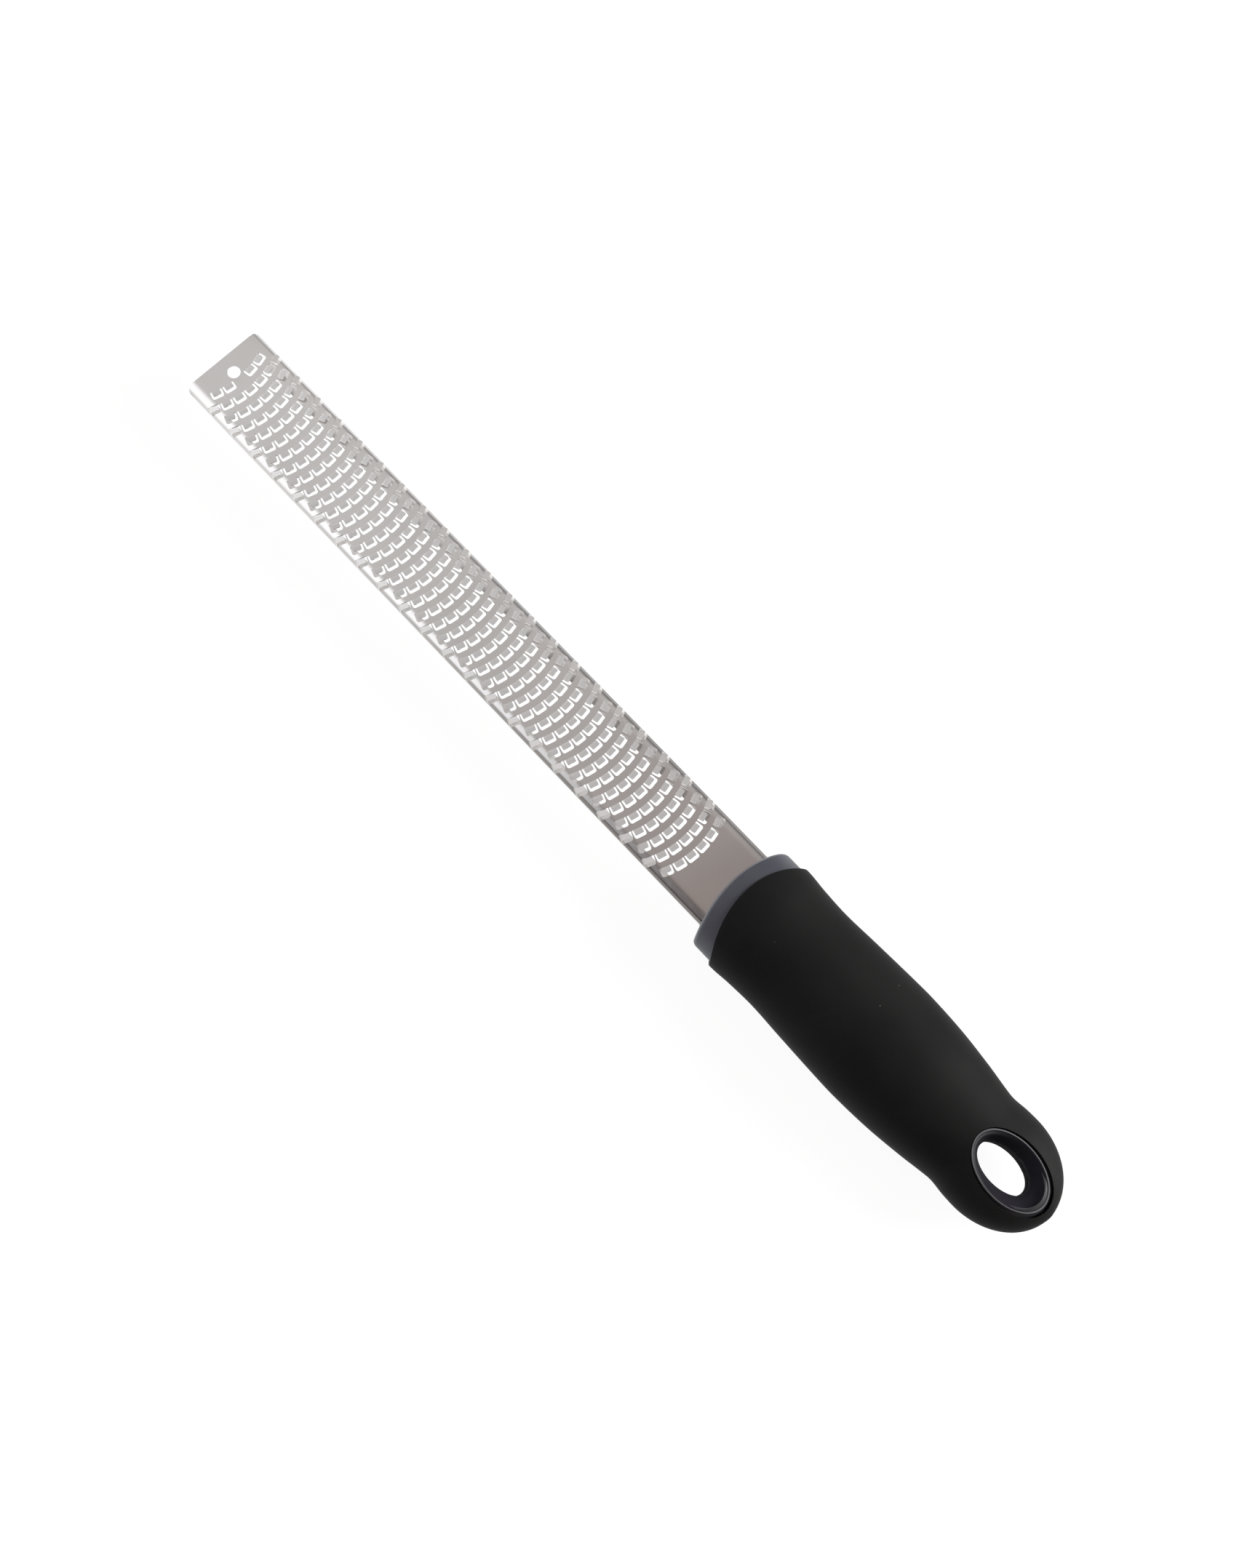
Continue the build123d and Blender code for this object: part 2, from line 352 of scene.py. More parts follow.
    @classmethod
    def copies(
        cls, model: bpy.types.Object, places: Iterable[Matrix], name: str
    ) -> bpy.types.Object:
        """Copies a model to each place and joins the copies.

        Args:
            model: The piece that repeats. It is used up.
            places: Where each copy goes.
            name: The joined object's name.

        Returns:
            All the copies as one object.
        """
        made = []
        for place in places:
            copy = model.copy()
            copy.data = model.data.copy()
            copy.data.transform(place)
            bpy.context.collection.objects.link(copy)
            made.append(copy)
        bpy.data.objects.remove(model)
        cls.clear()
        for copy in made:
            copy.select_set(True)
        bpy.context.view_layer.objects.active = made[0]
        bpy.ops.object.join()
        made[0].name = name
        return made[0]

    @classmethod
    def join(cls, piece: bpy.types.Object, *others: bpy.types.Object) -> None:
        """Joins other objects into one.

        Args:
            piece: The object that stays.
            others: Those that are used up.
        """
        cls.take(piece)
        for other in others:
            other.select_set(True)
        bpy.ops.object.join()

    @classmethod
    def outwards(cls, piece: bpy.types.Object) -> None:
        """Merges doubles and turns every face outwards.

        Args:
            piece: A closed mesh.
        """
        cls.take(piece)
        bpy.ops.object.mode_set(mode="EDIT")
        bpy.ops.mesh.select_all(action="SELECT")
        bpy.ops.mesh.remove_doubles(threshold=MERGE)
        bpy.ops.mesh.normals_make_consistent(inside=False)
        cls.done()

    @classmethod
    def finish(
        cls, piece: bpy.types.Object, material: bpy.types.Material, slot: Slot, angle: float
    ) -> None:
        """Scales a piece to metres, smooths and dresses it, and rides it on the body.

        Args:
            piece: The finished mesh, in millimetres.
            material: Its finish.
            slot: The record's slot for that finish; not used.
            angle: The sharpest turn that still looks smooth, in degrees.
        """
        cls.take(piece)
        piece.data.transform(Matrix.Scale(METRES, 4))
        bpy.ops.object.shade_smooth_by_angle(angle=math.radians(angle))
        piece.data.materials.clear()
        piece.data.materials.append(material)
        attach(piece, "root")
        LOG.info("%s: %d faces", piece.name, len(piece.data.polygons))


class Wire:
    """A shader socket that Python arithmetic adds Math nodes to."""

    def __init__(self, graph: Graph, socket: bpy.types.NodeSocket) -> None:
        """Wraps one output socket of graph."""
        self.graph = graph
        self.socket = socket

    def _math(self, operation: str, *values: Wire | float) -> Wire:
        """Adds one Math node."""
        return self.graph.add("ShaderNodeMath", {"operation": operation}, dict(enumerate(values)))

    def sign(self) -> Wire:
        """-1, 0 or 1."""
        return self._math("SIGN", self)

    def size(self) -> Wire:
        """The value without its sign."""
        return self._math("ABSOLUTE", self)

    def or_else(self, other: Wire) -> Wire:
        """The larger of self and other."""
        return self._math("MAXIMUM", self, other)

    def __add__(self, other: Wire | float) -> Wire:
        """self + other."""
        return self._math("ADD", self, other)

    __radd__ = __add__

    def __sub__(self, other: Wire | float) -> Wire:
        """self - other."""
        return self._math("SUBTRACT", self, other)

    def __rsub__(self, other: float) -> Wire:
        """other - self."""
        return self._math("SUBTRACT", other, self)

    def __mul__(self, other: Wire | float) -> Wire:
        """self * other."""
        return self._math("MULTIPLY", self, other)

    __rmul__ = __mul__

    def above(self, low: float, high: float) -> Wire:
        """0 below low, 1 above high, and smooth between them."""
        settings = {"interpolation_type": "SMOOTHSTEP"}
        return self.graph.add("ShaderNodeMapRange", settings, {0: self, 1: low, 2: high})


class Graph:
    """The nodes of one material or world."""

    def __init__(self, owner: bpy.types.Material | bpy.types.World) -> None:
        """Empties a node tree.

        Args:
            owner: The material or world that it belongs to.
        """
        owner.use_nodes = True
        self.tree = owner.node_tree
        self.tree.nodes.clear()

    def add(
        self,
        kind: str,
        settings: dict[str, object] | None = None,
        inputs: dict[str | int, object] | None = None,
        output: str | int = 0,
    ) -> Wire:
        """Adds a node.

        Args:
            kind: The node's type.
            settings: Its properties.
            inputs: Values or wires, by socket name or number.
            output: The output socket that is wanted.

        Returns:
            That output.
        """
        node = self.tree.nodes.new(kind)
        for name, value in (settings or {}).items():
            setattr(node, name, value)
        for name, value in (inputs or {}).items():
            if isinstance(value, Wire):
                self.tree.links.new(value.socket, node.inputs[name])
            else:
                node.inputs[name].default_value = value
        return Wire(self, node.outputs[output])

    def place(self) -> Wire:
        """The point on the object, in metres."""
        return self.add("ShaderNodeTexCoord", output="Object")

    def part(self, vector: Wire, axis: str) -> Wire:
        """One axis of a vector."""
        return self.add("ShaderNodeSeparateXYZ", None, {0: vector}, axis)

    def along(self, axis: str) -> Wire:
        """Where the point on the object lies along one axis, in metres."""
        return self.part(self.place(), axis)

    def outward(self) -> Wire:
        """How far the surface faces away from the tool's middle plane, -1 to 1."""
        normal = self.add("ShaderNodeNewGeometry", output="Normal")
        return self.part(normal, "Y") * self.along("Y").sign()

    def facing(self, direction: Point) -> Wire:
        """How far the way into a world's room points along a direction, -1 to 1."""
        inputs = {0: self.add("ShaderNodeTexCoord", output="Generated"), 1: direction}
        return self.add("ShaderNodeVectorMath", {"operation": "DOT_PRODUCT"}, inputs, "Value")

    def stretched(self, scale: Point) -> Wire:
        """The point on the object, with each axis scaled."""
        return self.add("ShaderNodeMapping", None, {"Vector": self.place(), "Scale": scale})

    def noise(self, point: Wire, scale: float, detail: float = 2.0, roughness: float = 0.5) -> Wire:
        """Noise of that many waves per metre, 0 to 1."""
        inputs = {"Vector": point, "Scale": scale, "Detail": detail, "Roughness": roughness}
        return self.add("ShaderNodeTexNoise", None, inputs)

    def blend(self, factor: Wire, first: Wire | Colour, second: Wire | Colour) -> Wire:
        """Mixes two colours."""
        return self.add("ShaderNodeMix", {"data_type": "RGBA"}, {0: factor, 6: first, 7: second}, 2)

    def bump(self, height: Wire, distance: float, strength: float) -> Wire:
        """A normal from a height field, whose full swing is distance metres."""
        inputs = {"Strength": strength, "Distance": distance, "Height": height}
        return self.add("ShaderNodeBump", None, inputs)

    def surface(self, inputs: dict[str | int, object]) -> None:
        """Ends a material in a Principled shader with these inputs."""
        shader = self.add("ShaderNodeBsdfPrincipled", None, inputs)
        self.add_output("ShaderNodeOutputMaterial", shader)

    def add_output(self, kind: str, shader: Wire) -> None:
        """Links shader to an output node of that kind."""
        node = self.tree.nodes.new(kind)
        self.tree.links.new(shader.socket, node.inputs["Surface"])


@dataclass(frozen=True)
class SteelFinish:
    """Satin stainless sheet with a faint grain along its length, painted shade on its teeth, a
    painted dark reflection on the outside of its folds and a painted glow inside them.
    """

    name: str = "satin_steel"
    colour: Colour = (0.80, 0.785, 0.775, 1)
    shade: Colour = (0.75, 0.735, 0.725, 1)
    # painted dark reflection along the outside of the folds
    painted_dark_reflection: Colour = (0.18, 0.165, 0.155, 1)
    # painted shade: a slightly darker copy of the steel for the raised teeth
    raised: Colour = (0.725, 0.715, 0.71, 1)
    # painted glow inside the folds, standing in for light bounced round the channel
    painted_inner_glow: Colour = (0.12, 0.118, 0.115, 1)
    face_z: float = 0.0168
    edge_y: float = 0.0117
    face_blur: Span = (0.00002, 0.00008)
    edge_blur: float = 0.0003
    outer_ramp: Span = (0.5, 0.8)
    inner_ramp: Span = (0.3, 0.7)
    handle_ramp: Span = (-0.15, 0.02)
    handle_share: float = 0.8
    tip_share: float = 0.15
    roughness: float = 0.20
    grain_scale: Point = (0.05, 1.0, 1.0)
    grain_waves: float = 9000.0
    grain_depth: float = 0.000004
    grain_strength: float = 0.6
    grain_swing: float = 0.1
    cloud_waves: float = 45.0
    cloud_ramp: Span = (0.35, 0.7)
    cloud_swing: float = 0.06

    def material(self) -> bpy.types.Material:
        """Builds the material.

        Returns:
            Steel with painted shade on the teeth, a painted dark reflection on the outside of the
            folded edges that grows towards the handle, and a painted glow on their inner faces.
        """
        made = bpy.data.materials.new(self.name)
        graph = Graph(made)
        grain = graph.noise(graph.stretched(self.grain_scale), self.grain_waves)
        clouds = graph.noise(graph.place(), self.cloud_waves, detail=3.0)
        outward = graph.outward()
        reach = graph.along("Y").size()
        edge = reach.above(self.edge_y - self.edge_blur, self.edge_y + self.edge_blur)
        tone = graph.blend(clouds.above(*self.cloud_ramp), self.colour, self.shade)
        level = graph.along("Z")
        raised = level.above(self.face_z + self.face_blur[0], self.face_z + self.face_blur[1])
        # painted shade: the raised teeth take a slightly darker tone, standing in for how they
        # catch the light
        tone = graph.blend(raised, tone, self.raised)
        near_handle = graph.along("X").above(*self.handle_ramp) * self.handle_share + self.tip_share
        # painted dark reflection: outward faces of the folds and flanges are darkened, more
        # strongly towards the handle
        tone = graph.blend(outward.above(*self.outer_ramp) * edge * near_handle, tone, self.painted_dark_reflection)
        # painted glow: inward faces beyond the flat emit a faint light
        inner = (0 - outward).above(*self.inner_ramp) * edge
        uneven = (grain - 0.5) * self.grain_swing
        graph.surface(
            {
                "Base Color": tone,
                "Metallic": 1.0,
                "Roughness": self.roughness + uneven + (clouds - 0.5) * self.cloud_swing,
                "Normal": graph.bump(grain, self.grain_depth, self.grain_strength),
                "Emission Color": graph.blend(inner, BLACK, self.painted_inner_glow),
                "Emission Strength": 1.0,
            }
        )
        return made


@dataclass(frozen=True)
class RubberFinish:
    """Matte soft-touch rubber with a fine grain and a few specks of dust."""

    name: str = "soft_rubber"
    colour: Colour = (0.0028, 0.0028, 0.0028, 1)
    worn: Colour = (0.0092, 0.009, 0.0087, 1)
    dust: Colour = (0.12, 0.12, 0.12, 1)
    roughness: float = 0.62
    specular: float = 0.17
    grain_waves: float = 4200.0
    grain_depth: float = 0.00003
    grain_strength: float = 0.5
    grain_swing: float = 0.2
    grain_ramp: Span = (0.4, 0.8)
    grain_share: float = 0.4
    cloud_waves: float = 55.0
    cloud_ramp: Span = (0.3, 0.75)
    cloud_share: float = 0.6
    dust_waves: float = 170.0
    speck_ramp: Span = (0.035, 0.06)
    dusty_ramp: Span = (0.56, 0.62)

    def material(self) -> bpy.types.Material:
        """Builds the material.

        Returns:
            Near-black rubber with lighter clouds, grain and specks.
        """
        made = bpy.data.materials.new(self.name)
        graph = Graph(made)
        place = graph.place()
        grain = graph.noise(place, self.grain_waves, detail=3.0, roughness=0.6)
        clouds = graph.noise(place, self.cloud_waves, detail=3.0)
        cell = graph.add("ShaderNodeTexVoronoi", None, {"Vector": place, "Scale": self.dust_waves})
        speck = (1 - cell.above(*self.speck_ramp)) * clouds.above(*self.dusty_ramp)
        cloudy = clouds.above(*self.cloud_ramp) * self.cloud_share
        grainy = grain.above(*self.grain_ramp) * self.grain_share
        tone = graph.blend(cloudy + grainy, self.colour, self.worn)
        graph.surface(
            {
                "Base Color": graph.blend(speck, tone, self.dust),
                "Roughness": self.roughness + (grain - 0.5) * self.grain_swing,
                "Specular IOR Level": self.specular,
                "Normal": graph.bump(grain, self.grain_depth, self.grain_strength),
            }
        )
        return made


@dataclass(frozen=True)
class MouldedFinish:
    """Moulded plastic with the fine spark texture of its mould.

    A ridge_oval, as middle x, half length and half width, paints a highlight round an
    opening's ridge, and a front colour paints a highlight on the edge that faces the tip.
    """

    name: str
    colour: Colour
    worn: Colour
    roughness: float
    specular: float = 0.5
    matt_below: float = 0.0
    matt_rise: float = 0.002
    matt_roughness: float = 0.95
    # colour of the painted highlight round an opening's ridge
    ridge_highlight: Colour = (0.15, 0.15, 0.158, 1)
    ridge_oval: Point = (0.0, 0.0, 0.0)
    ridge_ramp: Span = (0.91, 0.94)
    # colour of the painted highlight on faces that turn towards the tip
    front: Colour | None = None
    front_begin: Span = (0.35, 0.6)
    front_end: Span = (0.8, 0.95)
    grain_waves: float = 5200.0
    grain_depth: float = 0.00001
    grain_strength: float = 0.4
    grain_swing: float = 0.15
    cloud_waves: float = 80.0
    cloud_ramp: Span = (0.3, 0.7)

    def material(self) -> bpy.types.Material:
        """Builds the material.

        Returns:
            Plastic that is rougher below a level, with a painted highlight on its ridge or front
            edge.
        """
        made = bpy.data.materials.new(self.name)
        graph = Graph(made)
        grain = graph.noise(graph.place(), self.grain_waves)
        clouds = graph.noise(graph.place(), self.cloud_waves, detail=3.0)
        matt = 1 - graph.along("Z").above(self.matt_below, self.matt_below + self.matt_rise)
        tone = graph.blend(clouds.above(*self.cloud_ramp), self.colour, self.worn)
        middle, length, width = self.ridge_oval
        if length:
            lengthwise = (graph.along("X") - middle) * (1 / length)
            across = graph.along("Y") * (1 / width)
            reach = lengthwise * lengthwise + across * across
            # painted highlight: a lighter band round the opening's ridge
            tone = graph.blend(reach.above(*self.ridge_ramp), tone, self.ridge_highlight)
        if self.front:
            # painted highlight: a lighter band on faces that turn towards the tip
            ahead = 0 - graph.part(graph.add("ShaderNodeNewGeometry", output="Normal"), "X")
            band = ahead.above(*self.front_begin) * (1 - ahead.above(*self.front_end))
            tone = graph.blend(band, tone, self.front)
        rough = self.roughness + (grain - 0.5) * self.grain_swing
        graph.surface(
            {
                "Base Color": tone,
                "Roughness": rough + matt * (self.matt_roughness - self.roughness),
                "Specular IOR Level": self.specular,
                "Normal": graph.bump(grain, self.grain_depth, self.grain_strength),
            }
        )
        return made


@dataclass
class Rasp:
    """The etched rasp: a folded channel with its tang and its field of teeth."""

    tip_x: float = -160.0
    tang_x: float = 62.3
    top_z: float = 16.8
    width: float = 25.4
    sheet: float = 0.4
    height: float = 7.6
    fold_radius: float = 2.2
    ease_radius: float = 9.0
    ease_turn: float = 9.0
    lip_radius: float = 1.2
    lean: float = 8.0
    lip_gap: float = 17.4
    nose_step: float = 0.8
    nose_run: float = 6.0
    corner: float = 1.4
    corner_cuts: tuple[float, ...] = (22.5, 45.0, 67.5)
    cut_merge: float = 0.0001
    tang_width: float = 16.0
    tang_length: float = 46.0
    tang_corner: float = 3.0
    tang_steps: int = 4
    ease_steps: int = 4
    fold_steps: int = 12
    lip_steps: int = 7
    pin_radius: float = 1.55
    pin_places: tuple[float, ...] = (74.3, 96.3)
    pin_corners: int = 24
    hole_radius: float = 1.85
    hole_corners: int = 40
    hole_inset: float = 5.3
    row_pitch: float = 4.35
    row_radius: float = 28.45
    tooth_pitch: float = 4.07
    first_row: float = 9.6
    rows: int = 43
    side_column: int = 3
    first_columns: tuple[int, ...] = (-2, -1, 1, 2)
    window_width: float = 3.45
    window_length: float = 2.53
    window_corner: float = 0.62
    window_steps: int = 4
    leg_corner: float = 0.16
    leg_steps: int = 2
    leg_gap: float = 0.52
    edge_gap: float = 0.87
    lift: float = 0.2
    lift_bend: float = 1.15
    edge_level: float = 0.3
    root_depth: float = 0.12
    root_rise: Span = (-0.38, -0.02)
    tongue_steps: int = 5
    tongue_corner: float = 0.3
    tongue_corner_steps: int = 3
    edge_sink: float = 0.16
    edge_bevel: float = 0.045
    smooth_turn: float = 30

    @property
    def flat_half(self) -> float:
        """Half the flat width between the folds."""
        return self.width / 2 - self.fold_radius

    def sheet_metal(self) -> bpy.types.Object:
        """Folds the sheet edge by edge and gives it its thickness.

        Returns:
            The channel and tang, with a slanted nose and rounded tip corners.
        """
        half_tang = self.tang_width / 2
        piece = Bench.plate("rasp", (self.tip_x, -half_tang), (self.tang_x, half_tang), self.top_z)
        Bench.choose(piece, Pick.EDGES, lambda co: co.x > self.tang_x - NEAR)
        Bench.extrude((self.tang_length, 0, 0))
        tang_end = self.tang_x + self.tang_length
        Bench.choose(piece, Pick.POINTS, lambda co: co.x > tang_end - NEAR)
        bpy.ops.mesh.bevel(offset=self.tang_corner, segments=self.tang_steps, affect="VERTICES")
        for side in Side:
            self._fold_side(piece, side.value)
        Bench.choose(piece, Pick.FACES, lambda co: True)
        bpy.ops.mesh.normals_make_consistent(inside=False)
        Bench.done()
        if piece.data.polygons[0].normal.z < 0:
            piece.data.flip_normals()
        Bench.apply(piece, "SOLIDIFY", thickness=self.sheet, offset=-1, use_even_offset=True)
        self._cut_nose(piece)
        return piece

    def _fold_side(self, piece: bpy.types.Object, side: int) -> None:
        """Extrudes one side of the sheet out, down the fold, the flange and the lip.

        Args:
            piece: The flat sheet so far.
            side: -1 or 1, as in Side.
        """
        half_tang = self.tang_width / 2
        turn = math.radians(UPRIGHT + self.lean)
        ease = math.radians(self.ease_turn)
        down = Vector((0, side * math.cos(turn), -math.sin(turn)))
        inner = Vector((0, -side * math.sin(turn), -math.cos(turn)))
        arc_radius = self.fold_radius
        ease_y = self.width / 2 - arc_radius - (self.ease_radius - arc_radius) * math.sin(ease)
        ease_drop = (self.ease_radius - arc_radius) * (1 - math.cos(ease))
        fold_drop = ease_drop + arc_radius * (1 + math.sin(math.radians(self.lean)))
        lip_drop = self.lip_radius * (1 - math.sin(math.radians(self.lean)))
        flange = (self.height - fold_drop - lip_drop) / math.cos(math.radians(self.lean))
        Bench.choose(
            piece,
            Pick.EDGES,
            lambda co: co.x < self.tang_x + NEAR and abs(co.y - side * half_tang) < NEAR,
        )
        Bench.extrude((0, side * (ease_y - half_tang), 0))
        ease_centre = Vector((0, side * ease_y, self.top_z - self.ease_radius))
        bpy.ops.mesh.spin(steps=self.ease_steps, angle=ease, center=ease_centre, axis=(side, 0, 0))
        fold_centre = Vector((0, side * self.flat_half, self.top_z - ease_drop - arc_radius))
        bpy.ops.mesh.spin(
            steps=self.fold_steps, angle=turn - ease, center=fold_centre, axis=(side, 0, 0)
        )
        Bench.extrude(down * flange)
        foot = fold_centre - inner * arc_radius + down * flange
        lip_centre = foot + inner * self.lip_radius
        bpy.ops.mesh.spin(
            steps=self.lip_steps, angle=math.pi - turn, center=lip_centre, axis=(side, 0, 0)
        )
        lip_y = side * self.lip_gap / 2 - lip_centre.y
        Bench.extrude((0, lip_y, 0))
        Bench.done()

    def _cut_nose(self, piece: bpy.types.Object) -> None:
        """Cuts the folded sides back on a slant and rounds the tip's two corners.

        Args:
            piece: The folded sheet.
        """
        rise = self.height - self.nose_step
        slant = Vector((-rise, 0, -self.nose_run)).normalized()
        cuts = [((self.tip_x, 0, self.top_z - self.nose_step), slant)]
        for side in Side:
            middle_y = side.value * (self.width / 2 - self.corner)
            middle = Vector((self.tip_x + self.corner, middle_y, 0))
            for degrees in self.corner_cuts:
                turn = math.radians(degrees)
                out = Vector((-math.cos(turn), side.value * math.sin(turn), 0))
                cuts.append((middle + out * self.corner, out))
        for point, out in cuts:
            Bench.choose(piece, Pick.FACES, lambda co: True)
            bpy.ops.mesh.bisect(
                plane_co=point,
                plane_no=out,
                use_fill=True,
                clear_outer=True,
                threshold=self.cut_merge,
            )
            Bench.done()

    def tooth_places(self, tilt: float) -> list[tuple[Matrix, bool]]:
        """Lays out the field of teeth.

        Args:
            tilt: How much of the fold's slope the outermost ones take on, 0 to 1.

        Returns:
            For each tooth, where its window's front edge stands, and whether it lies on a fold.
        """
        places = []
        for row in range(self.rows):
            reach = self.side_column if row % 2 else self.side_column - 0.5
            columns = [step - reach for step in range(round(2 * reach) + 1)]
            if row == 0:
                columns = self.first_columns
            shift = Matrix.Translation((self.tip_x + self.first_row + row * self.row_pitch, 0, 0))
            for column in columns:
                on_fold = abs(column) == self.side_column
                places.append((shift @ self._tooth_place(column, tilt), on_fold))
        return places

    def _tooth_place(self, column: float, tilt: float) -> Matrix:
        """Finds one tooth's place in its row.

        Args:
            column: How many teeth it is from the middle.
            tilt: How much of the fold's slope it takes on, 0 to 1.

        Returns:
            Its place, turned with the row's arc and tilted on a fold.
        """
        turn = column * self.tooth_pitch / self.row_radius
        turned = Matrix.Rotation(turn, 4, "Z")
        if abs(column) < self.side_column:
            front_x = self.row_radius * (math.cos(turn) - 1)
            front = (front_x, self.row_radius * math.sin(turn), self.top_z)
            return Matrix.Translation(front) @ turned
        side = math.copysign(1, column)
        middle = self.row_radius - self.window_length / 2
        bend = (middle * math.sin(abs(turn)) - self.flat_half) / self.fold_radius
        centre = Vector(
            (
                middle * math.cos(turn) - self.row_radius,
                side * (self.flat_half + self.fold_radius * math.sin(bend)),
                self.top_z - self.fold_radius * (1 - math.cos(bend)),
            )
        )
        tilted = Matrix.Rotation(-side * bend * tilt, 4, "X")
        slid = Matrix.Translation((self.window_length / 2, 0, 0))
        return Matrix.Translation(centre) @ tilted @ turned @ slid

    def window(self, depth: float) -> bpy.types.Object:
        """Models one window's cutter.

        Args:
            depth: How far it goes up and down.

        Returns:
            The cutter, with round front corners.
        """
        half = self.window_width / 2
        piece = Bench.block("window", (-self.window_length, -half, -depth), (0, half, depth))
        for end_x, offset, segments in (
            (0, self.window_corner, self.window_steps),
            (-self.window_length, self.leg_corner, self.leg_steps),
        ):
            Bench.round_corners(piece, end_x, half, offset, segments)
        return piece

    def peg(self, radius: float, x: float, corners: int) -> bpy.types.Object:
        """Adds a round cutter upright through the sheet.

        Args:
            radius: Its radius.
            x: Its place along the tool.
            corners: How many sides it has.

        Returns:
            The cutter.
        """
        Bench.clear()
        bpy.ops.mesh.primitive_cylinder_add(
            vertices=corners, radius=radius, depth=4 * self.sheet, location=(x, 0, self.top_z)
        )
        return Bench.settle("peg")

    def tongue(self, sink: float) -> bpy.types.Object:
        """Models one raised tooth, extruded from its root along its bend.

        Args:
            sink: How far below the window's level its root lies.

        Returns:
            The tooth, with rounded corners at its free end.
        """
        half = self.window_width / 2 - self.leg_gap
        root_x = -self.window_length - self.root_depth
        low, high = self.root_rise
        piece = Bench.plate("tongue", (low, -half), (high, half), 0)
        piece.data.transform(Matrix.Rotation(-math.pi / 2, 4, "Y"))
        piece.data.transform(Matrix.Translation((root_x, 0, -sink)))
        length = self.window_length - self.edge_gap + self.root_depth
        steps = self.tongue_steps
        for step in range(steps):
            share = (step + 1) / steps
            before = step / steps
            rise = self.lift * (share**self.lift_bend - before**self.lift_bend)
            Bench.choose(piece, Pick.FACES, lambda co: co.x > root_x + before * length - NEAR)
            Bench.extrude((length / steps, 0, rise))
            Bench.done()
        corner = (self.tongue_corner, self.tongue_corner_steps)
        Bench.round_corners(piece, root_x + length, half, *corner)
        Bench.outwards(piece)
        return piece

    def build(self, material: bpy.types.Material) -> None:
        """Models the rasp whole and puts it in the blade's place.

        Args:
            material: Its finish.
        """
        piece = self.sheet_metal()
        places = self.tooth_places(1.0)
        flat = [place for place, on_fold in places if not on_fold]
        folded = [place for place, on_fold in places if on_fold]
        levelled = [spot for spot, on_fold in self.tooth_places(self.edge_level) if on_fold]
        cutter = Bench.copies(self.window(2 * self.sheet), flat, "windows")
        side_cutter = Bench.copies(self.window(self.fold_radius), folded, "side_windows")
        pegs = [self.peg(self.pin_radius, x, self.pin_corners) for x in self.pin_places]
        hole_x = self.tip_x + self.hole_inset
        pegs.append(self.peg(self.hole_radius, hole_x, self.hole_corners))
        Bench.join(cutter, side_cutter, *pegs)
        Bench.outwards(cutter)
        Bench.cut(piece, cutter)
        Bench.round_edges(piece, self.edge_bevel, 1)
        teeth = Bench.copies(self.tongue(0), flat, "teeth")
        side_teeth = Bench.copies(self.tongue(self.edge_sink), levelled, "side_teeth")
        Bench.join(piece, teeth, side_teeth)
        piece.name = "rasp"
        Bench.finish(piece, material, Slot.BLADE, self.smooth_turn)
        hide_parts("blade")


